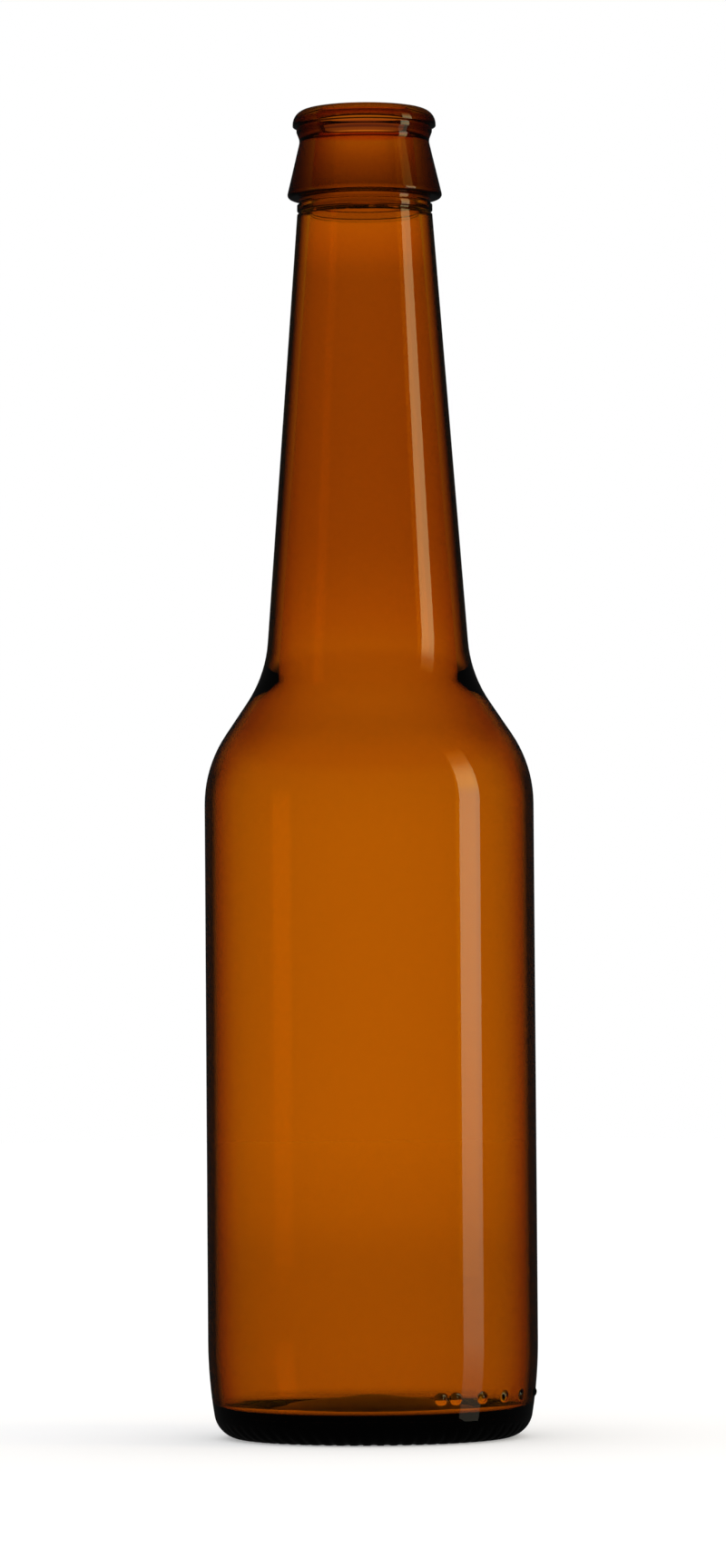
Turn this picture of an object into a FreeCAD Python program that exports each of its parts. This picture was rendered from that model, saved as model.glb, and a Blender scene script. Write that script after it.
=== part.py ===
"""Longneck glass bottle with a crown mouth, open and empty.

One blown piece of glass.  Its axis is Z, it stands on Z = 0, its front faces -Y, and every size
is in millimetres.  The outside is turned from two outlines: the body with its neck, and the
finish, which is the mouth with its locking ring and collar.  The inside is cut from a third,
the push-up under the base from a fourth, and a row of small mould dots stands on the heel.
"""
import FreeCAD, Part
import Sketcher
import os
from math import acos, atan2, cos, hypot, pi, radians, sin, sqrt

SIZES = {
    # the outside of the body, its heights counted up from the base
    "height": 245.8,               # base to lip
    "body_radius": 30.45,
    "heel_height": 18.0,           # where the side begins to draw in
    "heel_sweep_radius": 85.0,     # the long curve of the heel
    "heel_edge_radius": 5.1,       # the short curve that turns under
    "bearing_inset": 7.9,          # from the side in to the inner edge of the ring it stands on
    "pushup_height": 3.6,
    "shoulder_height": 116.8,      # where the side begins to turn in
    "shoulder_radius": 23.0,
    "shoulder_angle": 34.0,        # degrees between the straight shoulder run and the axis
    "shoulder_run": 7.2,           # length of that straight run
    "neck_root_radius": 23.4,
    "neck_top_radius": 12.46,
    # the outside of the finish, its heights counted down from the lip
    "neck_drop": 17.6,             # lip to the top of the neck
    "relief_depth": 0.3,           # the waist between neck and collar
    "collar_drop": 16.5,           # lip to the collar's underside
    "collar_overhang": 1.92,       # collar beyond the neck
    "collar_edge_radius": 0.7,
    "groove_drop": 5.6,            # lip to the middle of the groove below the ring
    "groove_fillet": 2.6,
    "groove_depth": 1.26,          # ring to the bottom of the groove
    "ring_radius": 13.3,           # the ring that a cap's skirt is crimped under
    "ring_drop": 3.1,              # lip to the ring's sharp lower edge
    "ring_step": 0.7,              # how far the ring stands out over the top of the groove
    "lip_radius": 2.9,             # outer rounding of the lip
    # the inside
    "bore_radius": 8.9,
    "lip_inner_radius": 1.1,
    "throat_drop": 4.0,            # lip to where the bore begins to widen
    "neck_bore_drop": 25.0,        # lip to where the neck's own taper begins inside
    "neck_bore_inset": 1.8,        # the bore there, less than the neck's top
    "inner_root_radius": 14.0,
    "inner_shoulder_run": 11.35,
    "inner_shoulder_rise": 0.75,   # the shoulder begins this much higher inside
    "body_wall": 1.9,
    "floor_height": 7.7,           # crown of the domed floor above the base
    "floor_radius": 80.0,
    "inner_heel_radius": 2.2,
    # the mould dots on the heel
    "dot_height": 8.45,            # middle of the row above the base
    "dot_ball_radius": 1.15,       # each dot is the outer part of a small ball
    "dot_proud": 0.45,
    "dot_first": 24.1,             # degrees from the front towards +X
    "dot_pitch": 5.75,             # degrees from one place of the row to the next
}
DOT_PLACES = (0, 1, 3, 5, 7, 10)   # the places of the row that hold a dot

CENTRE = 3                         # a sketch's own number for the centre of an arc
ORIGIN = (-1, 1)                   # and for its origin
UPRIGHT_AXIS = -2                  # and for its upright axis
NEAR = 0.001                       # two sizes this close are the same


class Outline:
    """A closed half outline in a sketch.  X is the distance from the axis, Y the height."""

    def __init__(self, sketch, start):
        self.sketch = sketch
        self.start = start
        self.here = start
        self.ends = []             # the sketch's numbers for each segment's first and last point

    def line(self, x, y, smooth=False):
        """A straight segment; a smooth one is tangent to the segment before it."""
        here = FreeCAD.Vector(*self.here, 0)
        self.sketch.addGeometry(Part.LineSegment(here, FreeCAD.Vector(x, y, 0)), False)
        return self._joined((1, 2), x, y, smooth)

    def arc(self, centre, x, y, anticlockwise=True, smooth=True):
        first = atan2(self.here[1] - centre[1], self.here[0] - centre[0])
        last = atan2(y - centre[1], x - centre[0])
        low, high = (first, last) if anticlockwise else (last, first)
        if high < low:
            high += 2 * pi
        radius = hypot(x - centre[0], y - centre[1])
        circle = Part.Circle(FreeCAD.Vector(*centre, 0), FreeCAD.Vector(0, 0, 1), radius)
        self.sketch.addGeometry(Part.ArcOfCircle(circle, low, high), False)
        return self._joined((1, 2) if anticlockwise else (2, 1), x, y, smooth)

    def _joined(self, ends, x, y, smooth):
        self.ends.append(ends)
        self.here = (x, y)
        number = len(self.ends) - 1
        if number > 0:
            kind = "Tangent" if smooth else "Coincident"
            self.rule(kind, number - 1, self.ends[number - 1][1], number, ends[0])
        return number

    def close(self):
        """The last side runs along the axis, back to the start."""
        last = self.line(*self.start)
        self.rule("Coincident", last, 2, 0, 1)
        self.rule("PointOnObject", last, 1, UPRIGHT_AXIS)

    def end(self, segment):
        return segment, self.ends[segment][1]

    def rule(self, kind, *where):
        self.sketch.addConstraint(Sketcher.Constraint(kind, *where))

    def size(self, name, formula, kind, *where):
        """A measured constraint that follows its formula in the sheet's sizes."""
        value = self.measure(kind, *where)
        number = self.sketch.addConstraint(Sketcher.Constraint(kind, *where, value))
        self.sketch.renameConstraint(number, name)
        self.sketch.setExpression("Constraints." + name, formula)

    def measure(self, kind, *where):
        """What the constraint would measure as the outline is drawn now."""
        geometry = self.sketch.Geometry
        if kind == "Radius":
            return geometry[where[0]].Radius
        if kind in ("DistanceX", "DistanceY"):
            point = self.sketch.getPoint(*where[2:])
            return point.x if kind == "DistanceX" else point.y
        segment = geometry[where[0]]
        along = segment.EndPoint - segment.StartPoint
        return along.Length if kind == "Distance" else atan2(along.y, along.x)

    def radius(self, name, formula, segment):
        self.size(name, formula, "Radius", segment)

    def out(self, name, formula, point):
        self.size(name, formula, "DistanceX", *ORIGIN, *point)

    def up(self, name, formula, point):
        self.size(name, formula, "DistanceY", *ORIGIN, *point)


def tangent_point(point, centre, radius):
    """Where the line from a point touches a circle, on the circle's side nearer the axis."""
    across, rise = point[0] - centre[0], point[1] - centre[1]
    angle = atan2(rise, across) + acos(radius / hypot(across, rise))
    return centre[0] + radius * cos(angle), centre[1] + radius * sin(angle)


def crossing(first, first_radius, second, second_radius):
    """Where two circles round these points cross, on the side away from the axis."""
    across, rise = second[0] - first[0], second[1] - first[1]
    apart = hypot(across, rise)
    along = (first_radius ** 2 - second_radius ** 2 + apart ** 2) / (2 * apart)
    aside = sqrt(first_radius ** 2 - along ** 2)
    return (first[0] + (along * across - aside * rise) / apart,
            first[1] + (along * rise + aside * across) / apart)


def stretched(start, through, reach):
    """The point that lies this many times as far from the start as the point through."""
    return start[0] + reach * (through[0] - start[0]), start[1] + reach * (through[1] - start[1])


def shoulder_points(side, start, radius, run, root_radius, neck_top):
    """Centres and joints of a shoulder, its straight run and the root of the neck."""
    slope = radians(SIZES["shoulder_angle"])
    normal = (cos(slope), sin(slope))
    centre = (side - radius, start)
    turned = (centre[0] + radius * normal[0], centre[1] + radius * normal[1])
    run_end = (turned[0] - run * normal[1], turned[1] + run * normal[0])
    root_centre = (run_end[0] + root_radius * normal[0], run_end[1] + root_radius * normal[1])
    return centre, turned, run_end, root_centre, tangent_point(neck_top, root_centre, root_radius)


def draw_body(sketch):
    """The outside from the base to the top of the neck."""
    side, edge, sweep = SIZES["body_radius"], SIZES["heel_edge_radius"], SIZES["heel_sweep_radius"]
    sweep_centre = (side - sweep, SIZES["heel_height"])
    drop = SIZES["heel_height"] - edge
    edge_centre = (sweep_centre[0] + sqrt((sweep - edge) ** 2 - drop ** 2), edge)
    joint = stretched(sweep_centre, edge_centre, sweep / (sweep - edge))
    neck_top = (SIZES["neck_top_radius"], SIZES["height"] - SIZES["neck_drop"])
    centre, turned, run_end, root_centre, root_top = shoulder_points(
        side, SIZES["shoulder_height"], SIZES["shoulder_radius"], SIZES["shoulder_run"],
        SIZES["neck_root_radius"], neck_top)

    outline = Outline(sketch, (0, 0))
    base = outline.line(edge_centre[0], 0)
    heel_edge = outline.arc(edge_centre, *joint)
    heel_sweep = outline.arc(sweep_centre, side, SIZES["heel_height"])
    wall = outline.line(side, SIZES["shoulder_height"], smooth=True)
    shoulder = outline.arc(centre, *turned)
    run = outline.line(*run_end, smooth=True)
    root = outline.arc(root_centre, *root_top, anticlockwise=False)
    neck = outline.line(*neck_top, smooth=True)
    top = outline.line(0, neck_top[1])
    outline.close()

    outline.rule("Coincident", base, 1, *ORIGIN)
    for flat in (base, top):
        outline.rule("Horizontal", flat)
    outline.rule("Vertical", wall)
    outline.radius("heel_edge", "Sizes.heel_edge_radius", heel_edge)
    outline.radius("heel_sweep", "Sizes.heel_sweep_radius", heel_sweep)
    outline.up("heel_height", "Sizes.heel_height", outline.end(heel_sweep))
    outline.out("side", "Sizes.body_radius", outline.end(wall))
    outline.up("shoulder_height", "Sizes.shoulder_height", outline.end(wall))
    outline.radius("shoulder", "Sizes.shoulder_radius", shoulder)
    outline.size("shoulder_slope", "(90 + Sizes.shoulder_angle) * 1 deg", "Angle", run)
    outline.size("shoulder_run", "Sizes.shoulder_run", "Distance", run)
    outline.radius("neck_root", "Sizes.neck_root_radius", root)
    outline.out("neck_top", "Sizes.neck_top_radius", outline.end(neck))
    outline.up("neck_top_height", "Sizes.height - Sizes.neck_drop", outline.end(neck))


def draw_finish(sketch):
    """The outside of the mouth: waist, collar, groove, locking ring and lip."""
    lip, edge, fillet = SIZES["height"], SIZES["collar_edge_radius"], SIZES["groove_fillet"]
    waist = SIZES["neck_top_radius"] - SIZES["relief_depth"]
    edge_centre = (SIZES["neck_top_radius"] + SIZES["collar_overhang"] - edge,
                   lip - SIZES["collar_drop"] + edge)
    ring = SIZES["ring_radius"]
    groove_centre = (ring - SIZES["groove_depth"] + fillet, lip - SIZES["groove_drop"])
    across, rise = groove_centre[0] - edge_centre[0], groove_centre[1] - edge_centre[1]
    slope = atan2(rise, across) - acos((edge + fillet) / hypot(across, rise))
    groove_top = ring - SIZES["ring_step"]
    groove_rise = sqrt(fillet ** 2 - (groove_centre[0] - groove_top) ** 2)
    ring_height = lip - SIZES["ring_drop"]
    rounding = SIZES["lip_radius"]

    outline = Outline(sketch, (0, lip - SIZES["neck_drop"]))
    bottom = outline.line(waist, lip - SIZES["neck_drop"])
    relief = outline.line(waist, lip - SIZES["collar_drop"])
    underside = outline.line(edge_centre[0], lip - SIZES["collar_drop"])
    collar_edge = outline.arc(edge_centre, edge_centre[0] + edge * cos(slope), edge_centre[1] + edge * sin(slope))
    outline.line(groove_centre[0] - fillet * cos(slope), groove_centre[1] - fillet * sin(slope), smooth=True)
    groove = outline.arc(groove_centre, groove_top, groove_centre[1] + groove_rise, anticlockwise=False)
    ring_neck = outline.line(groove_top, ring_height)
    ring_underside = outline.line(ring, ring_height)
    ring_side = outline.line(ring, lip - rounding)
    lip_arc = outline.arc((ring - rounding, lip - rounding), ring - rounding, lip)
    top = outline.line(0, lip, smooth=True)
    outline.close()

    outline.rule("PointOnObject", bottom, 1, UPRIGHT_AXIS)
    for flat in (bottom, underside, ring_underside, top):
        outline.rule("Horizontal", flat)
    for upright in (relief, ring_neck, ring_side):
        outline.rule("Vertical", upright)
    outline.out("waist", "Sizes.neck_top_radius - Sizes.relief_depth", outline.end(bottom))
    outline.up("waist_height", "Sizes.height - Sizes.neck_drop", outline.end(bottom))
    outline.up("collar_height", "Sizes.height - Sizes.collar_drop", outline.end(underside))
    outline.radius("collar_edge", "Sizes.collar_edge_radius", collar_edge)
    outline.out("collar", "Sizes.neck_top_radius + Sizes.collar_overhang - Sizes.collar_edge_radius",
                (collar_edge, CENTRE))
    outline.radius("groove_fillet", "Sizes.groove_fillet", groove)
    outline.out("groove", "Sizes.ring_radius - Sizes.groove_depth + Sizes.groove_fillet", (groove, CENTRE))
    outline.up("groove_height", "Sizes.height - Sizes.groove_drop", (groove, CENTRE))
    outline.out("groove_top", "Sizes.ring_radius - Sizes.ring_step", outline.end(groove))
    outline.up("ring_height", "Sizes.height - Sizes.ring_drop", outline.end(ring_neck))
    outline.out("ring", "Sizes.ring_radius", outline.end(ring_underside))
    outline.radius("lip", "Sizes.lip_radius", lip_arc)
    outline.up("lip_height", "Sizes.height", outline.end(top))


def draw_bore(sketch):
    """The inside from the lip to the floor."""
    lip, side = SIZES["height"], SIZES["body_radius"] - SIZES["body_wall"]
    neck_top = (SIZES["neck_top_radius"] - SIZES["neck_bore_inset"], lip - SIZES["neck_bore_drop"])
    centre, turned, run_end, root_centre, root_top = shoulder_points(
        side, SIZES["shoulder_height"] + SIZES["inner_shoulder_rise"],
        SIZES["shoulder_radius"] - SIZES["body_wall"], SIZES["inner_shoulder_run"],
        SIZES["inner_root_radius"], neck_top)
    heel, dome = SIZES["inner_heel_radius"], SIZES["floor_radius"]
    sweep = SIZES["heel_sweep_radius"] - SIZES["body_wall"]
    sweep_centre, dome_centre = (side - sweep, SIZES["heel_height"]), (0, SIZES["floor_height"] - dome)
    heel_centre = crossing(sweep_centre, sweep - heel, dome_centre, dome + heel)
    sweep_end = stretched(sweep_centre, heel_centre, sweep / (sweep - heel))
    floor_edge = stretched(dome_centre, heel_centre, dome / (dome + heel))

    outline = Outline(sketch, (0, lip))
    mouth = outline.line(SIZES["bore_radius"], lip)
    throat = outline.line(SIZES["bore_radius"], lip - SIZES["throat_drop"])
    widening = outline.line(*neck_top)
    outline.line(*root_top)
    root = outline.arc(root_centre, *run_end)
    run = outline.line(*turned, smooth=True)
    shoulder = outline.arc(centre, side, centre[1], anticlockwise=False)
    wall = outline.line(side, SIZES["heel_height"], smooth=True)
    heel_sweep = outline.arc(sweep_centre, *sweep_end, anticlockwise=False)
    inner_heel = outline.arc(heel_centre, *floor_edge, anticlockwise=False)
    floor = outline.arc(dome_centre, 0, SIZES["floor_height"])
    outline.close()

    outline.rule("PointOnObject", mouth, 1, UPRIGHT_AXIS)
    outline.rule("PointOnObject", floor, CENTRE, UPRIGHT_AXIS)
    outline.rule("Horizontal", mouth)
    for upright in (throat, wall):
        outline.rule("Vertical", upright)
    outline.out("bore", "Sizes.bore_radius", outline.end(mouth))
    outline.up("lip_height", "Sizes.height", outline.end(mouth))
    outline.up("throat_height", "Sizes.height - Sizes.throat_drop", outline.end(throat))
    outline.out("neck_bore", "Sizes.neck_top_radius - Sizes.neck_bore_inset", outline.end(widening))
    outline.up("neck_bore_height", "Sizes.height - Sizes.neck_bore_drop", outline.end(widening))
    outline.radius("root", "Sizes.inner_root_radius", root)
    outline.size("shoulder_slope", "(Sizes.shoulder_angle - 90) * 1 deg", "Angle", run)
    outline.size("shoulder_run", "Sizes.inner_shoulder_run", "Distance", run)
    outline.radius("shoulder", "Sizes.shoulder_radius - Sizes.body_wall", shoulder)
    outline.up("shoulder_height", "Sizes.shoulder_height + Sizes.inner_shoulder_rise", outline.end(shoulder))
    outline.out("side", "Sizes.body_radius - Sizes.body_wall", outline.end(wall))
    outline.up("heel_height", "Sizes.heel_height", outline.end(wall))
    outline.radius("heel_sweep", "Sizes.heel_sweep_radius - Sizes.body_wall", heel_sweep)
    outline.radius("inner_heel", "Sizes.inner_heel_radius", inner_heel)
    outline.radius("floor", "Sizes.floor_radius", floor)
    outline.up("floor_height", "Sizes.floor_height", outline.end(floor))


def draw_pushup(sketch):
    """The shallow dome under the base, inside the ring that the bottle stands on."""
    edge, rise = SIZES["body_radius"] - SIZES["bearing_inset"], SIZES["pushup_height"]
    radius = (edge ** 2 + rise ** 2) / (2 * rise)

    outline = Outline(sketch, (0, 0))
    base = outline.line(edge, 0)
    dome = outline.arc((0, rise - radius), 0, rise, smooth=False)
    outline.close()

    outline.rule("Coincident", base, 1, *ORIGIN)
    outline.rule("Horizontal", base)
    outline.rule("PointOnObject", dome, CENTRE, UPRIGHT_AXIS)
    outline.out("bearing_edge", "Sizes.body_radius - Sizes.bearing_inset", outline.end(base))
    outline.up("rise", "Sizes.pushup_height", outline.end(dome))


def sheet_of_sizes(doc):
    sheet = doc.addObject("Spreadsheet::Sheet", "Sizes")
    for row, (name, value) in enumerate(SIZES.items(), start=1):
        sheet.set(f"A{row}", name)
        sheet.set(f"B{row}", str(value))
        sheet.setAlias(f"B{row}", name)
    doc.recompute()


def volume(body):
    return 0.0 if body.Shape.isNull() else body.Shape.Volume


def turned(body, kind, name, draw):
    """A revolution or groove round the axis, made from the outline that draw makes."""
    upright_plane = next(item for item in body.Origin.OriginFeatures if item.Role == "XZ_Plane")
    sketch = body.newObject("Sketcher::SketchObject", name + "Outline")
    sketch.AttachmentSupport = (upright_plane, [""])
    sketch.MapMode = "FlatFace"
    draw(sketch)
    body.Document.recompute()
    if not sketch.FullyConstrained:
        raise RuntimeError(sketch.Name + " is not fully constrained")
    before = volume(body)
    feature = body.newObject(kind, name)
    feature.Profile = sketch
    feature.ReferenceAxis = (sketch, ["V_Axis"])
    feature.Angle = 360
    body.Document.recompute()
    change = volume(body) - before
    wanted = change > 0 if kind == "PartDesign::Revolution" else change < 0
    if not wanted:
        raise RuntimeError(f"{name} changed the volume by {change:.1f}")


def round_lip(body):
    """The rounded inner edge of the mouth."""
    base = body.Tip
    names = []
    for number, edge in enumerate(base.Shape.Edges, start=1):
        box = edge.BoundBox
        at_lip = abs(box.ZMin - SIZES["height"]) < NEAR
        if at_lip and abs(box.XMax - SIZES["bore_radius"]) < NEAR:
            names.append(f"Edge{number}")
    fillet = body.newObject("PartDesign::Fillet", "LipInner")
    fillet.Base = (base, names)
    fillet.setExpression("Radius", "Sizes.lip_inner_radius")
    body.Document.recompute()


def add_dots(body):
    """Mould dots: balls sunk in the heel so that each stands a little proud of the glass."""
    heel = ("Sizes.body_radius - Sizes.heel_sweep_radius"
            " + sqrt(Sizes.heel_sweep_radius^2 - (Sizes.heel_height - Sizes.dot_height)^2)")
    orbit = f"({heel} + Sizes.dot_proud - Sizes.dot_ball_radius)"
    for place in DOT_PLACES:
        turn = f"((Sizes.dot_first + {place} * Sizes.dot_pitch) * 1 deg)"
        dot = body.newObject("PartDesign::AdditiveSphere", f"Dot{place}")
        dot.setExpression("Radius", "Sizes.dot_ball_radius")
        dot.setExpression("Placement.Base.x", f"{orbit} * sin{turn}")
        dot.setExpression("Placement.Base.y", f"-{orbit} * cos{turn}")
        dot.setExpression("Placement.Base.z", "Sizes.dot_height")
        body.Document.recompute()


def check(doc, body):
    for item in doc.Objects:
        if "Invalid" in item.State or "Error" in item.State:
            raise RuntimeError(f"{item.Name} did not build: {item.State}")
    shape = body.Shape
    if shape.isNull() or not shape.isValid() or len(shape.Solids) != 1:
        raise RuntimeError(body.Label + " is not one valid solid")


def main():
    doc = FreeCAD.newDocument("LongneckBottle")
    sheet_of_sizes(doc)
    body = doc.addObject("PartDesign::Body", "Bottle")
    body.Label = "bottle"
    turned(body, "PartDesign::Revolution", "Body", draw_body)
    turned(body, "PartDesign::Revolution", "Finish", draw_finish)
    turned(body, "PartDesign::Groove", "Bore", draw_bore)
    turned(body, "PartDesign::Groove", "PushUp", draw_pushup)
    round_lip(body)
    add_dots(body)
    doc.recompute()
    check(doc, body)
    os.makedirs("parts", exist_ok=True)
    body.Shape.exportStep(f"parts/{body.Label}.step")
    box = body.Shape.optimalBoundingBox()
    print(f"{body.Label}: {body.Shape.Volume / 1000:.1f} ml of glass, "
          f"{box.XLength:.2f} x {box.YLength:.2f} x {box.ZLength:.2f} mm")


main()
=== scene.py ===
import bpy
from math import acos, cos, pi, radians, sin, tan
from mathutils import Matrix, Vector


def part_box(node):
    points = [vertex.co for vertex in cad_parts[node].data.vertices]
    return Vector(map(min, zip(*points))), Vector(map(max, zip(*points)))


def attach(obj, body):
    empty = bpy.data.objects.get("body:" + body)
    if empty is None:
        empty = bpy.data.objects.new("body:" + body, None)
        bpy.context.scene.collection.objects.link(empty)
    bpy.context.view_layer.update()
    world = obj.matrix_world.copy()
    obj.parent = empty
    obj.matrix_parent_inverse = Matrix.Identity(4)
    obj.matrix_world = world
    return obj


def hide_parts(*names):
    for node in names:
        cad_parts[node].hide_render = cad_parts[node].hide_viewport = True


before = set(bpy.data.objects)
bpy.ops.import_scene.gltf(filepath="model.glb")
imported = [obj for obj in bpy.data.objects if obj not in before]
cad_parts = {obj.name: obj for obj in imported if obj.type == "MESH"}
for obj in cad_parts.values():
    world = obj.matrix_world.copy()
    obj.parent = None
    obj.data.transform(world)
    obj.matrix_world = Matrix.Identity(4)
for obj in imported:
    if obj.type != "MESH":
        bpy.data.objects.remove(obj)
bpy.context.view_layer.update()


# ------------------------------------------------------------------ the glass
# The bottle is one piece of amber container glass, blown in a two-part mould after its mouth was
# pressed in a ring mould.  Its wall is thin in the body and thicker in the neck, the mouth and the
# heel; its skin is fire polished, and the ring it stands on is knurled against scratches.

MM = 0.001
box_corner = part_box("bottle")[1]
HEIGHT = box_corner[2] / MM          # base to lip
SIDE = box_corner[0] / MM            # radius of the body
NECK_TOP = 12.46                     # radius of the neck where the collar begins
RING = 13.3                          # radius of the locking ring
BORE = 8.9                           # radius of the mouth's bore
BODY_WALL = 1.9
PUSH_UP, FLOOR = 3.6, 7.7            # middle of the underside and crown of the floor


def rounded(corners):
    """Points of an outline given by corners (radius, height, rounding, steps round it)."""
    points = []
    for number, (across, up, rounding, steps) in enumerate(corners):
        corner = Vector((across, up))
        if rounding == 0:
            points.append(corner)
            continue
        back = (Vector(corners[number - 1][:2]) - corner).normalized()
        ahead = (Vector(corners[number + 1][:2]) - corner).normalized()
        half = acos(max(-1, min(1, back.dot(ahead)))) / 2
        centre = corner + (back + ahead).normalized() * (rounding / sin(half))
        first = corner + back * (rounding / tan(half)) - centre
        last = corner + ahead * (rounding / tan(half)) - centre
        turn = first.angle_signed(last)
        for step in range(steps + 1):
            points.append(centre + Matrix.Rotation(-turn * step / steps, 2) @ first)
    return points


# the outside, from the middle of the push-up to the lip
OUTSIDE = [
    (0.0, PUSH_UP, 0, 0), (11.56, PUSH_UP, 71.0, 5), (SIDE - 7.9, 0.0, 1.2, 4),
    # heel, side and shoulder
    (SIDE - 1.815, 0.0, 5.1, 22), (SIDE, 11.09, 84.9, 8),
    (SIDE, 123.83, 23.0, 10), (SIDE - 11.43, 140.78, 23.3, 9),
    # the low steps where the neck's mould met the mouth's, then the waist
    (NECK_TOP + 0.1, HEIGHT - 19.5, 0, 0), (NECK_TOP - 0.15, HEIGHT - 19.3, 0.1, 2),
    (NECK_TOP - 0.15, HEIGHT - 19.0, 0.1, 2), (NECK_TOP + 0.12, HEIGHT - 18.8, 0.1, 2),
    (NECK_TOP + 0.12, HEIGHT - 17.7, 0.15, 2), (NECK_TOP - 0.3, HEIGHT - 17.5, 0.15, 2),
    (NECK_TOP - 0.3, HEIGHT - 16.5, 0.35, 3),
    # collar, groove, locking ring and lip
    (NECK_TOP + 2.07, HEIGHT - 16.5, 0.7, 6), (RING - 1.33, HEIGHT - 5.75, 2.2, 6),
    (RING - 0.7, HEIGHT - 4.1, 0.6, 2), (RING - 0.7, HEIGHT - 3.1, 0.3, 3),
    (RING, HEIGHT - 3.1, 0.12, 3), (RING, HEIGHT, 2.7, 12),
]
# the inside, from the lip down the bore to the middle of the floor
INSIDE = [
    (BORE, HEIGHT, 1.1, 6), (BORE, HEIGHT - 4.0, 12.0, 4), (NECK_TOP - 1.8, HEIGHT - 25.0, 12.0, 4),
    (SIDE - 13.93, 141.84, 14.0, 9), (SIDE - BODY_WALL, 124.0, 21.1, 9),
    (SIDE - BODY_WALL, 11.25, 83.0, 6), (SIDE - 3.2, 3.3, 2.2, 8), (10.06, FLOOR, 78, 6), (0.0, FLOOR, 0, 0),
]

# a row of small mould dots stands on the heel, some of its places left empty
DOT_HEIGHT, DOT_BALL, DOT_PROUD = 8.45, 1.15, 0.45
DOT_FIRST, DOT_PITCH, DOT_PLACES = 24.1, 5.75, (0, 1, 3, 5, 7, 10)
DOT_ORBIT = SIDE - 1.238             # radius of the heel at the dots
DOT_MIDDLE = DOT_FIRST + DOT_PITCH * 5
DOT_BAND = 1.1                       # the rows are fine this far above and below the dots' middles,
DOT_SKIN = SIDE - 1.7                # on the skin that lies further out than this radius
COARSE, FINE = 40.0, 0.4             # longest face up the glass, and where the dots are
BORDER = 0.2                         # the narrow row at each end of a long face, which keeps it flat
BORDER_SHARE = 0.08                  # a face is long where the border is less of it than this


def longest_row(start, end):
    """Fine rows over the dots and coarse ones elsewhere."""
    low, high = sorted((start.y, end.y))
    beside = low < DOT_HEIGHT + DOT_BAND and high > DOT_HEIGHT - DOT_BAND
    return FINE if beside and min(start.x, end.x) > DOT_SKIN else COARSE


def halved(start, end):
    """Points after the start, up to the end, with no row longer than it may be there."""
    if (end - start).length <= longest_row(start, end):
        return [end]
    middle = (start + end) / 2
    return halved(start, middle) + halved(middle, end)


def divided(points):
    """The same outline cut into short rows, with narrow ones at both ends of a long one."""
    cut = [points[0]]
    for start, end in zip(points, points[1:]):
        share = BORDER / (end - start).length
        if share < BORDER_SHARE:
            first, last = start.lerp(end, share), start.lerp(end, 1 - share)
            cut += [first, *halved(first, last), end]
        else:
            cut += halved(start, end)
    return cut


outline = divided(rounded(OUTSIDE + INSIDE))
first_inner = max(range(len(outline)), key=lambda place: (round(outline[place].y, 3), -outline[place].x))
rows = bpy.data.meshes.new("bottle outline")
rows.from_pydata([(point.x * MM, 0, point.y * MM) for point in outline],
                 [(number, number + 1) for number in range(len(outline) - 1)], [])


def add(tree, kind, links=(), stops=(), **settings):
    """A node with its settings, links as (input, socket or value), and a ramp's stops as (place, colour)."""
    item = tree.nodes.new(kind)
    for name, value in settings.items():
        setattr(item, name, value)
    for socket, source in links:
        if isinstance(source, bpy.types.NodeSocket):
            tree.links.new(source, item.inputs[socket])
        else:
            item.inputs[socket].default_value = source
    if stops:
        while len(item.color_ramp.elements) < len(stops):
            item.color_ramp.elements.new(1.0)
        for element, (place, colour) in zip(item.color_ramp.elements, stops):
            element.position = place
            element.color = colour
    return item


def named_inputs(tree, sockets):
    """The tree's group inputs, as (name, type, default value)."""
    for name, kind, value in sockets:
        socket = tree.interface.new_socket(name, in_out="INPUT", socket_type="NodeSocket" + kind)
        if value is not None:
            socket.default_value = value
    tree.interface.new_socket("Geometry", in_out="OUTPUT", socket_type="NodeSocketGeometry")
    return tree.nodes.new("NodeGroupInput").outputs


turning = bpy.data.node_groups.new("turned glass", "GeometryNodeTree")
given = named_inputs(turning, [
    ("Outline", "Geometry", None), ("First inner row", "Int", first_inner), ("Columns", "Int", 384),
    ("Crowding", "Float", 0.45), ("Weld", "Float", 0.002 * MM),
    ("Knurls", "Int", 64), ("Knurl depth", "Float", 0.38 * MM), ("Knurl top", "Float", 3.2 * MM),
    ("Knurl inner edge", "Float", (SIDE - 7.6) * MM), ("Knurl middle", "Float", 25.6 * MM),
    ("Knurl bend", "Float", 0.12), ("Knurl sharpness", "Float", 1.5),
    ("Dot ball", "Float", DOT_BALL * MM), ("Dot proud", "Float", DOT_PROUD * MM),
    ("Glass", "Material", None),
])

# the glass starts as a flat grid with a row for each point of the outline
row_count = add(turning, "GeometryNodeAttributeDomainSize", [(0, given["Outline"])]).outputs[0]
column_count = add(turning, "ShaderNodeMath", [(0, given["Columns"]), (1, 1)], operation="ADD").outputs[0]
grid = add(turning, "GeometryNodeMeshGrid", [("Vertices X", row_count), ("Vertices Y", column_count)])
index = turning.nodes.new("GeometryNodeInputIndex").outputs[0]
past_index = add(turning, "ShaderNodeMath", [(0, index), (1, 0.5)], operation="ADD").outputs[0]
rows_before = add(turning, "ShaderNodeMath", [(0, past_index), (1, column_count)],
                  operation="DIVIDE").outputs[0]
row = add(turning, "ShaderNodeMath", [(0, rows_before)], operation="FLOOR").outputs[0]
row_start = add(turning, "ShaderNodeMath", [(0, row), (1, column_count)], operation="MULTIPLY").outputs[0]
column = add(turning, "ShaderNodeMath", [(0, index), (1, row_start)], operation="SUBTRACT").outputs[0]

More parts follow.
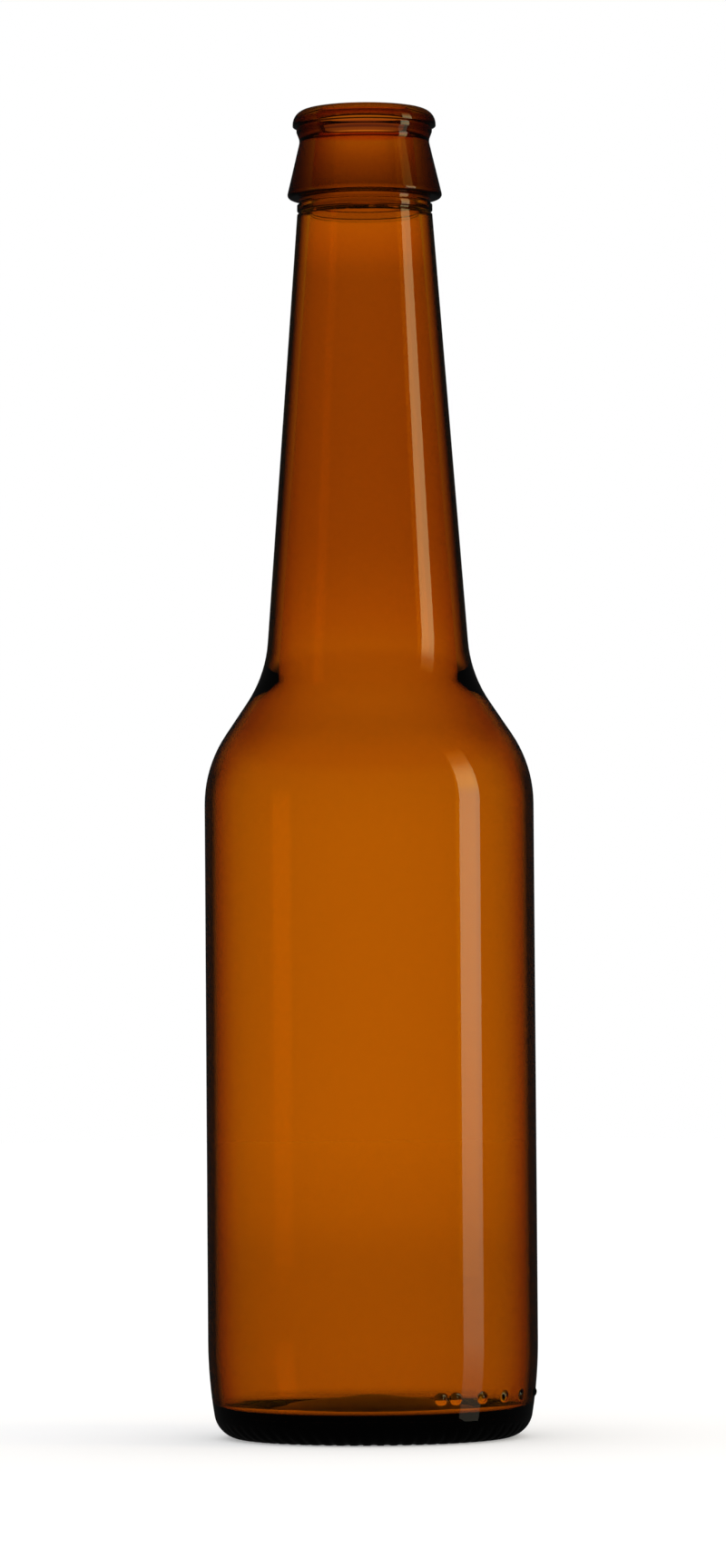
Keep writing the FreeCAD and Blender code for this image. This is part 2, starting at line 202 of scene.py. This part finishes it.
# a column's angle: even steps round the bottle, drawn together round the dots
pitch = add(turning, "ShaderNodeMath", [(0, radians(-360)), (1, given["Columns"])],
            operation="DIVIDE").outputs[0]
even = add(turning, "ShaderNodeMath", [(0, column), (1, pitch)], operation="MULTIPLY").outputs[0]
from_dots = add(turning, "ShaderNodeMath", [(0, even), (1, radians(DOT_MIDDLE))],
                operation="SUBTRACT").outputs[0]
lean = add(turning, "ShaderNodeMath", [(0, from_dots)], operation="SINE").outputs[0]
crowding = add(turning, "ShaderNodeMath", [(0, lean), (1, given["Crowding"])],
               operation="MULTIPLY").outputs[0]
turned_by = add(turning, "ShaderNodeMath", [(0, even), (1, crowding)], operation="SUBTRACT").outputs[0]

# every point goes to its row's place in the outline, turned to its column's angle
place = turning.nodes.new("GeometryNodeInputPosition").outputs[0]
sampled = add(turning, "GeometryNodeSampleIndex",
              [("Geometry", given["Outline"]), ("Value", place), ("Index", row)],
              data_type="FLOAT_VECTOR")
on_outline = add(turning, "ShaderNodeSeparateXYZ", [(0, sampled.outputs["Value"])]).outputs
to_right = add(turning, "ShaderNodeMath", [(0, turned_by)], operation="SINE").outputs[0]
to_back = add(turning, "ShaderNodeMath", [(0, turned_by)], operation="COSINE").outputs[0]
to_front = add(turning, "ShaderNodeMath", [(0, to_back), (1, -1)], operation="MULTIPLY").outputs[0]
turned_place = add(turning, "ShaderNodeCombineXYZ", [
    (0, add(turning, "ShaderNodeMath", [(0, on_outline[0]), (1, to_right)], operation="MULTIPLY").outputs[0]),
    (1, add(turning, "ShaderNodeMath", [(0, on_outline[0]), (1, to_front)], operation="MULTIPLY").outputs[0]),
    (2, on_outline[2])])
turned_mesh = add(turning, "GeometryNodeSetPosition", [
    ("Geometry", grid.outputs["Mesh"]), ("Position", turned_place.outputs[0])])

# the rows after the lip are the inside of the bottle
inside = add(turning, "ShaderNodeMath", [(0, row), (1, given["First inner row"])],
             operation="GREATER_THAN").outputs[0]
marked = add(turning, "GeometryNodeStoreNamedAttribute", [
    ("Geometry", turned_mesh.outputs[0]), ("Name", "inside"), ("Value", inside)],
    data_type="FLOAT", domain="POINT")
closed = add(turning, "GeometryNodeMergeByDistance",
             [("Geometry", marked.outputs[0]), ("Distance", given["Weld"])])
inner_side = add(turning, "GeometryNodeInputNamedAttribute", [("Name", "inside")],
                 data_type="FLOAT").outputs["Attribute"]
outer_side = add(turning, "ShaderNodeMath", [(0, 1), (1, inner_side)], operation="SUBTRACT").outputs[0]

# the knurling is a ring of short bent nicks in the ring the bottle stands on: a wave round the
# bottle, bent with the distance from the ring's middle, that dies out upwards
where = add(turning, "ShaderNodeSeparateXYZ", [(0, place)]).outputs
level = add(turning, "ShaderNodeVectorMath", [(0, place), (1, (1, 1, 0))], operation="MULTIPLY").outputs[0]
away = add(turning, "ShaderNodeVectorMath", [(0, level)], operation="LENGTH").outputs["Value"]
frontward = add(turning, "ShaderNodeMath", [(0, where[1]), (1, -1)], operation="MULTIPLY").outputs[0]
azimuth = add(turning, "ShaderNodeMath", [(0, where[0]), (1, frontward)], operation="ARCTAN2").outputs[0]
off_middle = add(turning, "ShaderNodeMath", [(0, away), (1, given["Knurl middle"])],
                 operation="SUBTRACT").outputs[0]
off_middle_mm = add(turning, "ShaderNodeMath", [(0, off_middle), (1, MM)], operation="DIVIDE").outputs[0]
squared = add(turning, "ShaderNodeMath", [(0, off_middle_mm), (1, 2)], operation="POWER").outputs[0]
bend = add(turning, "ShaderNodeMath", [(0, squared), (1, given["Knurl bend"])],
           operation="MULTIPLY").outputs[0]
round_ring = add(turning, "ShaderNodeMath", [(0, azimuth), (1, given["Knurls"])],
                 operation="MULTIPLY").outputs[0]
phase = add(turning, "ShaderNodeMath", [(0, round_ring), (1, bend)], operation="ADD").outputs[0]
wave = add(turning, "ShaderNodeMath", [(0, phase)], operation="COSINE").outputs[0]
crest = add(turning, "ShaderNodeMath", [(0, wave), (1, 0)], operation="MAXIMUM").outputs[0]
nick = add(turning, "ShaderNodeMath", [(0, crest), (1, given["Knurl sharpness"])],
           operation="POWER").outputs[0]
up_ring = add(turning, "ShaderNodeMath", [(0, where[2]), (1, given["Knurl top"])],
              operation="DIVIDE").outputs[0]
left_above = add(turning, "ShaderNodeMath", [(0, 1), (1, up_ring)], operation="SUBTRACT").outputs[0]
low = add(turning, "ShaderNodeMath", [(0, left_above), (1, 0)], operation="MAXIMUM").outputs[0]
dying_out = add(turning, "ShaderNodeMath", [(0, low)], operation="SQRT").outputs[0]
on_ring = add(turning, "ShaderNodeMath", [(0, away), (1, given["Knurl inner edge"])],
              operation="GREATER_THAN").outputs[0]
knurled = given["Knurl depth"]
for share in (nick, outer_side, dying_out, on_ring):
    knurled = add(turning, "ShaderNodeMath", [(0, knurled), (1, share)], operation="MULTIPLY").outputs[0]

# each mould dot is the cap of a small ball sunk in the heel
nearest = 1.0
for dot in DOT_PLACES:
    angle = radians(DOT_FIRST + DOT_PITCH * dot)
    middle = Vector((DOT_ORBIT * sin(angle), -DOT_ORBIT * cos(angle), DOT_HEIGHT)) * MM
    gap = add(turning, "ShaderNodeVectorMath", [(0, place), (1, middle)],
              operation="DISTANCE").outputs["Value"]
    nearest = add(turning, "ShaderNodeMath", [(0, gap), (1, nearest)], operation="MINIMUM").outputs[0]
sunk = add(turning, "ShaderNodeMath", [(0, given["Dot ball"]), (1, given["Dot proud"])],
           operation="SUBTRACT").outputs[0]
ball_squared = add(turning, "ShaderNodeMath", [(0, given["Dot ball"]), (1, 2)], operation="POWER").outputs[0]
sunk_squared = add(turning, "ShaderNodeMath", [(0, sunk), (1, 2)], operation="POWER").outputs[0]
near_squared = add(turning, "ShaderNodeMath", [(0, nearest), (1, 2)], operation="POWER").outputs[0]
reach = add(turning, "ShaderNodeMath", [(0, ball_squared), (1, sunk_squared)], operation="ADD").outputs[0]
room = add(turning, "ShaderNodeMath", [(0, reach), (1, near_squared)], operation="SUBTRACT").outputs[0]
within_dot = add(turning, "ShaderNodeMath", [(0, room), (1, 0)], operation="MAXIMUM").outputs[0]
cap = add(turning, "ShaderNodeMath", [(0, within_dot)], operation="SQRT").outputs[0]
over_skin = add(turning, "ShaderNodeMath", [(0, cap), (1, sunk)], operation="SUBTRACT").outputs[0]
proud = add(turning, "ShaderNodeMath", [(0, over_skin), (1, 0)], operation="MAXIMUM").outputs[0]
dots = add(turning, "ShaderNodeMath", [(0, proud), (1, outer_side)], operation="MULTIPLY").outputs[0]

normal = turning.nodes.new("GeometryNodeInputNormal").outputs[0]
raised = add(turning, "ShaderNodeMath", [(0, dots), (1, knurled)], operation="SUBTRACT").outputs[0]
relief = add(turning, "ShaderNodeVectorMath", [(0, normal), ("Scale", raised)], operation="SCALE")
relieved = add(turning, "GeometryNodeSetPosition",
               [("Geometry", closed.outputs[0]), ("Offset", relief.outputs[0])])
smooth = add(turning, "GeometryNodeSetShadeSmooth", [(0, relieved.outputs[0])])
real = add(turning, "GeometryNodeRealizeInstances", [(0, smooth.outputs[0])])
dressed = add(turning, "GeometryNodeSetMaterial",
              [("Geometry", real.outputs[0]), ("Material", given["Glass"])])
add(turning, "NodeGroupOutput", [(0, dressed.outputs[0])])


def linear(hex_colour, alpha=1.0):
    """An sRGB hex colour as linear light."""
    values = [int(hex_colour[start:start + 2], 16) / 255 for start in (1, 3, 5)]
    return [v / 12.92 if v <= 0.04045 else ((v + 0.055) / 1.055) ** 2.4 for v in values] + [alpha]


# Amber soda-lime glass, blown: iron and sulphur colour it through its depth, and its skin is smooth.
# It gives the eye an orange body, a darker neck and a nearly black heel and floor.  Its depth does
# part of this; painted shade and light in its colour do the rest: tints by height, a dark glass
# floor, and dark edges on the outer skin.
glass = bpy.data.materials.new("amber soda-lime glass")
glass.use_nodes = True
shading = glass.node_tree
shading.nodes.clear()
coordinates = shading.nodes.new("ShaderNodeTexCoord").outputs
on_glass = add(shading, "ShaderNodeSeparateXYZ", [(0, coordinates["Object"])]).outputs
height = on_glass["Z"]
upward_face = add(shading, "ShaderNodeSeparateXYZ", [(0, coordinates["Normal"])]).outputs["Z"]
facing = add(shading, "ShaderNodeLayerWeight", [("Blend", 0.5)]).outputs["Facing"]
CLEAR = (1.0, 1.0, 1.0, 1.0)

# painted shade on the outer skin's edges: the shares of red and green that it keeps, from facing
# the eye to edge on
BODY_EDGE_SHADE = [
    (0.0, 1.0, 1.0), (0.106, 0.97, 0.97), (0.238, 0.93, 0.93), (0.341, 0.86, 0.86), (0.41, 0.76, 0.7),
    (0.484, 0.62, 0.42), (0.544, 0.45, 0.19), (0.6, 0.28, 0.08), (0.643, 0.12, 0.03), (0.673, 0.03, 0.008),
    (0.707, 0.003, 0.001)]
SHOULDER_EDGE_SHADE = [
    (0.0, 1.0, 1.0), (0.2, 0.96, 0.92), (0.34, 0.76, 0.62), (0.4, 0.62, 0.44), (0.47, 0.5, 0.32),
    (0.54, 0.46, 0.23), (0.6, 0.42, 0.16), (0.64, 0.36, 0.12), (0.68, 0.24, 0.07), (0.73, 0.09, 0.02),
    (0.8, 0.01, 0.003), (0.9, 0.001, 0.001)]
NECK_EDGE_SHADE = [
    (0.0, 1.0, 1.0), (0.17, 0.99, 0.97), (0.262, 0.97, 0.87), (0.339, 0.85, 0.7), (0.417, 0.7, 0.4),
    (0.5, 0.44, 0.13), (0.587, 0.14, 0.03), (0.629, 0.045, 0.009), (0.66, 0.01, 0.003), (0.7, 0.001, 0.001)]
FINISH_EDGE_SHADE = [
    (0.0, 1.0, 1.0), (0.1, 0.84, 0.84), (0.17, 0.6, 0.54), (0.25, 0.43, 0.27), (0.34, 0.28, 0.08),
    (0.47, 0.14, 0.03), (0.56, 0.08, 0.018), (0.7, 0.06, 0.01)]


def edge_shade_stops(table):
    """Stops of a table of painted edge shade, its blue as its green."""
    return [(turned_away, (red, green, green, 1.0)) for turned_away, red, green in table]


edge = add(shading, "ShaderNodeValToRGB", [(0, facing)], stops=edge_shade_stops(BODY_EDGE_SHADE)).outputs[0]
# each of the other tables of painted edge shade starts and fully holds by how far up a face points,
# or by height
for table, measure, start, full in (
        (SHOULDER_EDGE_SHADE, upward_face, 0.22, 0.5),
        (NECK_EDGE_SHADE, height, 136 * MM, 144 * MM),
        (FINISH_EDGE_SHADE, height, 228.3 * MM, 228.8 * MM)):
    share = add(shading, "ShaderNodeMapRange",
                [("Value", measure), ("From Min", start), ("From Max", full)]).outputs[0]
    skin_edge_shade = add(shading, "ShaderNodeValToRGB", [(0, facing)], stops=edge_shade_stops(table)).outputs[0]
    edge = add(shading, "ShaderNodeMix", [(0, share), (6, edge), (7, skin_edge_shade)], data_type="RGBA").outputs[2]

# the painted edge shade is left off the inside and the top of the lip; the top is where faces of the
# finish point upwards
LIP_START, LIP_FULL = 0.28, 0.5
on_finish = share                    # the last edge's share
lip_top = add(shading, "ShaderNodeMapRange", [
    ("Value", upward_face), ("From Min", LIP_START), ("From Max", LIP_FULL)])
on_lip = add(shading, "ShaderNodeMath", [(0, on_finish), (1, lip_top.outputs[0])], operation="MULTIPLY")
inner_skin = add(shading, "ShaderNodeAttribute", attribute_name="inside")
unshaded = add(shading, "ShaderNodeMath", [(0, inner_skin.outputs["Fac"]), (1, on_lip.outputs[0])],
               operation="MAXIMUM")
# the outer skin with its painted edge shade
outer_edge_shade = add(shading, "ShaderNodeMix", [(0, unshaded.outputs[0]), (6, edge), (7, CLEAR)],
                 data_type="RGBA")

# the glass floor gets a dark colour, painted shade, and is made dull: it is the faces that point
# upwards below a height
FLOOR_START, FLOOR_FULL = 0.7, 0.9
FLOOR_BELOW = 20.0
FLOOR_ROUGHNESS = 0.45
flat = add(shading, "ShaderNodeMapRange", [
    ("Value", upward_face), ("From Min", FLOOR_START), ("From Max", FLOOR_FULL)])
low_down = add(shading, "ShaderNodeMath", [(0, height), (1, FLOOR_BELOW * MM)], operation="LESS_THAN")
floor_share = add(shading, "ShaderNodeMath", [(0, flat.outputs[0]), (1, low_down.outputs[0])],
                  operation="MULTIPLY")
floor_shaded = add(shading, "ShaderNodeMix", [
    (0, floor_share.outputs[0]), (6, outer_edge_shade.outputs[2]), (7, linear("#301919"))], data_type="RGBA")
dull = add(shading, "ShaderNodeMath", [(0, floor_share.outputs[0]), (1, FLOOR_ROUGHNESS)],
           operation="MULTIPLY")

# painted shade and light in the glass's colour: the shares of red and green that pass at heights in
# millimetres, up the body and neck and up the finish from its low end.  They paint a nearly black
# heel, a darker shoulder and neck, a dark band at the groove under the locking ring and a lighter
# top of the lip, a painted highlight; little blue passes anywhere
BLUE = 0.07
HEIGHT_TINT_AND_SHADE = [
    (0, 0.012, 0.004), (4.6, 0.02, 0.006), (5.6, 0.06, 0.02), (6.3, 0.22, 0.08), (6.9, 0.93, 0.44),
    (40, 0.95, 0.46), (60, 0.95, 0.468), (112, 0.945, 0.472), (118, 0.925, 0.46), (125, 0.87, 0.415),
    (131, 0.81, 0.388), (138, 0.86, 0.415), (145, 0.965, 0.46), (151.6, 0.918, 0.412), (158.4, 0.86, 0.38),
    (165, 0.815, 0.353), (182, 0.79, 0.34), (215, 0.785, 0.342), (221, 0.95, 0.42), (226, 1.0, 0.47)]
FINISH_LOW = 226.0
FINISH_TINT_SHADE_AND_LIGHT = [
    (0.0, 1.0, 0.47), (0.9, 0.64, 0.285), (3.4, 0.68, 0.29), (3.6, 0.95, 0.43), (4.2, 0.95, 0.43),
    (4.5, 0.7, 0.3), (6.5, 0.82, 0.36), (9.0, 0.9, 0.4), (11.5, 1.0, 0.46), (13.4, 1.0, 0.5),
    (13.7, 1.0, 0.3), (14.4, 1.0, 0.25), (14.9, 0.95, 0.24), (15.1, 0.2, 0.035), (16.1, 0.2, 0.035),
    (16.4, 0.6, 0.11), (17.0, 0.85, 0.2), (17.6, 0.95, 0.27), (18.6, 1.0, 0.55), (19.8, 1.0, 0.9)]


def tint_and_shade_stops(table, full):
    """Stops of a table of tints and painted shade over a full height."""
    return [(up / full, (red, green, BLUE, 1.0)) for up, red, green in table]


upward = add(shading, "ShaderNodeMath", [(0, height), (1, HEIGHT * MM)], operation="DIVIDE").outputs[0]
up_finish = add(shading, "ShaderNodeMapRange", [
    ("Value", height), ("From Min", FINISH_LOW * MM), ("From Max", HEIGHT * MM)]).outputs[0]
body_tint_and_shade = add(shading, "ShaderNodeValToRGB", [(0, upward)], stops=tint_and_shade_stops(HEIGHT_TINT_AND_SHADE, HEIGHT))
finish_tint_shade_and_light = add(shading, "ShaderNodeValToRGB", [(0, up_finish)],
                  stops=tint_and_shade_stops(FINISH_TINT_SHADE_AND_LIGHT, HEIGHT - FINISH_LOW))
above_neck = add(shading, "ShaderNodeMath", [(0, height), (1, FINISH_LOW * MM)], operation="GREATER_THAN")
through = add(shading, "ShaderNodeMix", [
    (0, above_neck.outputs[0]), (6, body_tint_and_shade.outputs[0]), (7, finish_tint_shade_and_light.outputs[0])], data_type="RGBA")
# the tints by height, with their painted shade and light, times the painted edge and floor shade
shaded_tint = add(shading, "ShaderNodeMix", [(0, 1.0), (6, through.outputs[2]), (7, floor_shaded.outputs[2])],
           data_type="RGBA", blend_type="MULTIPLY")

# painted shade: a dark line round the neck at the step where the neck's mould met the mouth's,
# broken into flecks, with a fainter one above it; both fade behind the axis, so that the far side
# of the line hardly shows through the near side
SEAM_LOW, SEAM_HIGH = HEIGHT - 21.4, HEIGHT - 17.4
SEAM_SHADE_STOPS = [(0.0, 0.0), (0.38, 0.0), (0.43, 1.0), (0.57, 1.0), (0.62, 0.0), (0.76, 0.0), (0.79, 0.5), (0.82, 0.0)]
FLECK = 2.381                        # millimetres from fleck to fleck
FADE, FAR_LINE = 3.0, 0.05           # from this far before the axis to as far behind it, and down to this
across = add(shading, "ShaderNodeVectorMath", [(0, coordinates["Object"]), (1, (1.0, 1.0, 0.0))],
             operation="MULTIPLY")
flecks = add(shading, "ShaderNodeTexNoise",
             [("Vector", across.outputs[0]), ("Scale", 1 / (FLECK * MM)), ("Detail", 2.0)])
broken = add(shading, "ShaderNodeMapRange",
             [("Value", flecks.outputs["Fac"]), ("From Min", 0.3), ("From Max", 0.4)])
up_seam = add(shading, "ShaderNodeMapRange", [
    ("Value", height), ("From Min", SEAM_LOW * MM), ("From Max", SEAM_HIGH * MM)])
line = add(shading, "ShaderNodeValToRGB", [(0, up_seam.outputs[0])],
           stops=[(up, (dark, dark, dark, 1.0)) for up, dark in SEAM_SHADE_STOPS])
fading = add(shading, "ShaderNodeMapRange", [
    ("Value", on_glass["Y"]), ("From Min", -FADE * MM), ("From Max", FADE * MM),
    ("To Min", 1.0), ("To Max", FAR_LINE)])
fainter = add(shading, "ShaderNodeMath", [(0, broken.outputs[0]), (1, fading.outputs[0])],
              operation="MULTIPLY")
seam_shade = add(shading, "ShaderNodeMath", [(0, line.outputs[0]), (1, fainter.outputs[0])], operation="MULTIPLY")
# the seam's painted shade laid on the glass's colour
seam_shaded = add(shading, "ShaderNodeMix", [(0, seam_shade.outputs[0]), (6, shaded_tint.outputs[2]), (7, linear("#1d120d"))],
            data_type="RGBA")

GLASS_IOR = 1.52
skin = add(shading, "ShaderNodeBsdfPrincipled", [
    ("Base Color", seam_shaded.outputs[2]), ("Transmission Weight", 1.0),
    ("Roughness", dull.outputs[0]), ("IOR", GLASS_IOR)])
# a millimetre of this glass holds back about a sixth of the red, a fifth of the green, over half the blue
depth = add(shading, "ShaderNodeVolumeAbsorption", [("Color", linear("#e8e250")), ("Density", 870.0)])
add(shading, "ShaderNodeOutputMaterial", [("Surface", skin.outputs[0]), ("Volume", depth.outputs[0])])


def turned(name, outline_mesh, material):
    """A plain mesh object turned from an outline by the tree."""
    rough = bpy.data.objects.new(name + " outline", outline_mesh)
    bpy.context.collection.objects.link(rough)
    lathe = rough.modifiers.new("turning", "NODES")
    lathe.node_group = turning
    for socket in turning.interface.items_tree:
        if socket.in_out == "INPUT" and socket.name == "Glass":
            lathe[socket.identifier] = material
    ready = rough.evaluated_get(bpy.context.evaluated_depsgraph_get())
    mesh = bpy.data.meshes.new_from_object(ready)
    bpy.data.objects.remove(rough)
    mesh.name = name
    piece = bpy.data.objects.new(name, mesh)
    bpy.context.collection.objects.link(piece)
    return piece


bottle_glass = turned("bottle_glass", rows, glass)
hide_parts("bottle")
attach(bottle_glass, "root")


# ------------------------------------------------------------------ the table
# A round white table top that the bottle stands on, painted matt.  It isn't part of the object.

TABLE_RADIUS = 3.0                   # metres
TABLE_SIDES = 120
table_mesh = bpy.data.meshes.new("table")
turns = [radians(360 / TABLE_SIDES * side) for side in range(TABLE_SIDES)]
round_edge = [(TABLE_RADIUS * cos(turn), TABLE_RADIUS * sin(turn), 0) for turn in turns]
table_mesh.from_pydata(round_edge, [], [list(range(TABLE_SIDES))])
table = bpy.data.objects.new("table", table_mesh)
bpy.context.collection.objects.link(table)
paint = bpy.data.materials.new("matt white paint")
paint.use_nodes = True
coat = paint.node_tree
coat.nodes.clear()

# Matt white paint.  It gives the eye an even white ground: it shines a little itself when seen
# directly, and through the glass it shines more from its middle to its rim.
DIRECT_LIFT = 0.3
RIM_LIFT = [(0.27, 0.0), (0.32, 0.02), (0.38, 0.07), (0.46, 0.13), (0.66, 0.19), (1.0, 0.255)]
ray = coat.nodes.new("ShaderNodeLightPath").outputs
on_table = coat.nodes.new("ShaderNodeTexCoord").outputs["Object"]
matt = add(coat, "ShaderNodeBsdfDiffuse", [("Color", linear("#ebebeb"))])
far = add(coat, "ShaderNodeVectorMath", [(0, on_table)], operation="LENGTH").outputs["Value"]
to_rim = add(coat, "ShaderNodeMath", [(0, far), (1, TABLE_RADIUS)], operation="DIVIDE")
rim = add(coat, "ShaderNodeValToRGB", [(0, to_rim.outputs[0])],
          stops=[(place, (lift, lift, lift, 1.0)) for place, lift in RIM_LIFT])
direct = add(coat, "ShaderNodeMath", [(0, ray["Is Camera Ray"]), (1, DIRECT_LIFT)], operation="MULTIPLY")
behind = add(coat, "ShaderNodeMath", [(0, ray["Is Transmission Ray"]), (1, rim.outputs[0])],
             operation="MULTIPLY")
lift = add(coat, "ShaderNodeMath", [(0, direct.outputs[0]), (1, behind.outputs[0])], operation="ADD")
lifted = add(coat, "ShaderNodeEmission", [("Color", linear("#ffffff")), ("Strength", lift.outputs[0])])
seen = add(coat, "ShaderNodeAddShader", [(0, matt.outputs[0]), (1, lifted.outputs[0])])
add(coat, "ShaderNodeOutputMaterial", [("Surface", seen.outputs[0])])
table_mesh.materials.append(paint)
table.visible_glossy = False         # no sheen of the table on the glass


# ------------------------------------------------------------------ light and camera
# A white surround seen directly and through the glass, and one tall soft light at the right.

# The surround's brightness: white to the camera; through the glass white at the sides and dim
# overhead; faint where the glass mirrors it; and a soft fill for what it lights.
FILL, MIRRORED, OVERHEAD = 0.9, 0.014, 0.14
DIM_START, DIM_FULL = 0.3, 0.5       # sines of the angles up, 17 and 30 degrees

world = bpy.data.worlds.new("studio")
bpy.context.scene.world = world
world.use_nodes = True
air = world.node_tree
air.nodes.clear()
path = air.nodes.new("ShaderNodeLightPath").outputs
direction = air.nodes.new("ShaderNodeTexCoord").outputs["Generated"]
up = add(air, "ShaderNodeSeparateXYZ", [(0, direction)]).outputs[2]
not_lit = add(air, "ShaderNodeMath", [(0, path["Is Camera Ray"]), (1, path["Is Transmission Ray"])],
              operation="MAXIMUM")
lit = add(air, "ShaderNodeMapRange", [
    ("Value", path["Is Glossy Ray"]), ("To Min", FILL), ("To Max", MIRRORED)])
through_glass = add(air, "ShaderNodeMapRange", [
    ("Value", up), ("From Min", DIM_START), ("From Max", DIM_FULL), ("To Min", 1.0), ("To Max", OVERHEAD)],
    interpolation_type="SMOOTHSTEP")
white = add(air, "ShaderNodeMath", [(0, through_glass.outputs[0]), (1, path["Is Camera Ray"])],
            operation="MAXIMUM")
strength = add(air, "ShaderNodeMix", [(0, not_lit.outputs[0]), (2, lit.outputs[0]), (3, white.outputs[0])],
               data_type="FLOAT")
surround = add(air, "ShaderNodeBackground", [("Color", linear("#ffffff")), ("Strength", strength.outputs[0])])
add(air, "ShaderNodeOutputWorld", [("Surface", surround.outputs[0])])

# the tall light, in metres: how far from the bottle, how far round to the right, and its ends
LAMP_DISTANCE, LAMP_TURN = 0.8, radians(73.3)
LAMP_WIDTH, LAMP_LOW, LAMP_HIGH = 0.246, -0.25, 0.75
LAMP_STRENGTH = 4.0
# its colour from its lower end up: dim, brightest from a third to two thirds up, warmer above
GLOW = [
    (0.0, "#59554b"), (0.12, "#59554b"), (0.2, "#7c7965"), (0.25, "#93947c"),
    (0.33, "#c0c1a2"), (0.38, "#c9caaa"), (0.45, "#c9caaa"),
    (0.54, "#fadd96"), (0.64, "#edd18e"), (0.7, "#d4bc7e"),
    (0.8, "#a0763f"), (0.92, "#81591d"), (1.0, "#000000")]

lamp = bpy.data.lights.new("tall soft light", "AREA")
lamp.shape = "RECTANGLE"
lamp.size = LAMP_WIDTH
lamp.size_y = LAMP_HIGH - LAMP_LOW
lamp.energy = pi * LAMP_WIDTH * (LAMP_HIGH - LAMP_LOW)
lamp.use_nodes = True
cloth = lamp.node_tree
cloth.nodes.clear()
on_cloth = cloth.nodes.new("ShaderNodeNewGeometry").outputs["Parametric"]
up_cloth = add(cloth, "ShaderNodeSeparateXYZ", [(0, on_cloth)]).outputs[1]
glow = add(cloth, "ShaderNodeValToRGB", [(0, up_cloth)],
           stops=[(place, linear(colour)) for place, colour in GLOW])
shine = add(cloth, "ShaderNodeEmission", [("Color", glow.outputs[0]), ("Strength", LAMP_STRENGTH)])
add(cloth, "ShaderNodeOutputLight", [("Surface", shine.outputs[0])])
strip = bpy.data.objects.new("tall soft light", lamp)
strip.location = (
    LAMP_DISTANCE * sin(LAMP_TURN), -LAMP_DISTANCE * cos(LAMP_TURN), (LAMP_LOW + LAMP_HIGH) / 2)
strip.rotation_euler = (radians(90), 0, LAMP_TURN)
bpy.context.collection.objects.link(strip)

# the camera stands 1.2 metres before the bottle, looks up a little and is rolled a little
CAMERA_PLACE = (-0.0011, -1.2, 0.0764)
CAMERA_RISE, CAMERA_ROLL = radians(2.107), radians(-0.42)
camera_data = bpy.data.cameras.new("camera")
camera_data.lens = 148.96
camera_data.sensor_width = 36.0
camera = bpy.data.objects.new("camera", camera_data)
camera.matrix_world = (
    Matrix.Translation(CAMERA_PLACE)
    @ Matrix.Rotation(radians(90) + CAMERA_RISE, 4, "X")
    @ Matrix.Rotation(CAMERA_ROLL, 4, "Z"))
bpy.context.collection.objects.link(camera)
bpy.context.scene.camera = camera
bpy.context.scene.view_settings.view_transform = "Standard"
